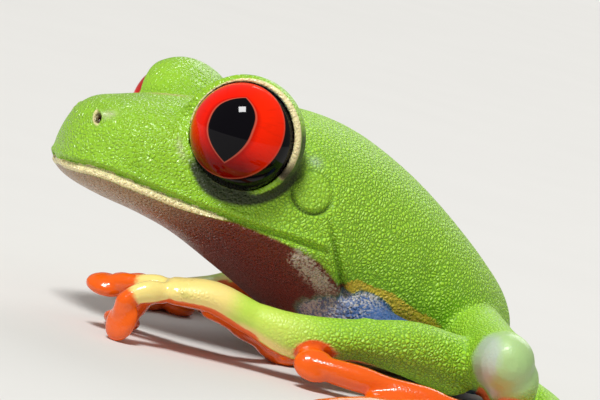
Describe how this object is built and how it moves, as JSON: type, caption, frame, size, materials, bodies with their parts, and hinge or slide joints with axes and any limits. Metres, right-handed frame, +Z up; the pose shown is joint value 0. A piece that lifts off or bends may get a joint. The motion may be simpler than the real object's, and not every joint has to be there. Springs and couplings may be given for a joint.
{
  "type": "tree frog",
  "caption": "Life-size still model of a crouching tree frog with a bright green granular back, large red eyes with upright slit pupils, blue and ochre flanks and orange webbed feet.",
  "frame": {"origin": "on the floor under the middle of the model's bounding box", "axes": "+Z up, the head faces -X with the snout level, the frog's right side is +Y and its left side -Y"},
  "size_m": [0.0418, 0.0616, 0.0188],
  "materials": {
    "green_skin": "moist, granular, satin",
    "orange_skin": "moist, smooth, glossy",
    "throat_skin": "moist, finely granular",
    "eye": "wet, mirror-smooth"
  },
  "bodies": {
    "root": {"eye_left": "eye", "eye_right": "eye", "finger_1_left": "orange_skin", "finger_1_right": "orange_skin", "finger_2_left": "orange_skin", "finger_2_right": "orange_skin", "finger_3_left": "orange_skin", "finger_3_right": "orange_skin", "finger_4_left": "orange_skin", "finger_4_right": "orange_skin", "foot_left": "orange_skin", "foot_right": "orange_skin", "forearm_left": "green_skin", "forearm_right": "green_skin", "hand_left": "orange_skin", "hand_right": "orange_skin", "head": "green_skin", "lower_jaw": "throat_skin", "rump": "green_skin", "shank_left": "green_skin", "shank_right": "green_skin", "tarsus_left": "green_skin", "tarsus_right": "green_skin", "thigh_left": "green_skin", "thigh_right": "green_skin", "toe_1_left": "orange_skin", "toe_1_right": "orange_skin", "toe_2_left": "orange_skin", "toe_2_right": "orange_skin", "toe_3_left": "orange_skin", "toe_3_right": "orange_skin", "toe_4_left": "orange_skin", "toe_4_right": "orange_skin", "toe_5_left": "orange_skin", "toe_5_right": "orange_skin", "trunk": "green_skin", "tympanum_left": "green_skin", "tympanum_right": "green_skin", "upper_arm_left": "green_skin", "upper_arm_right": "green_skin"}
  },
  "joints": []
}
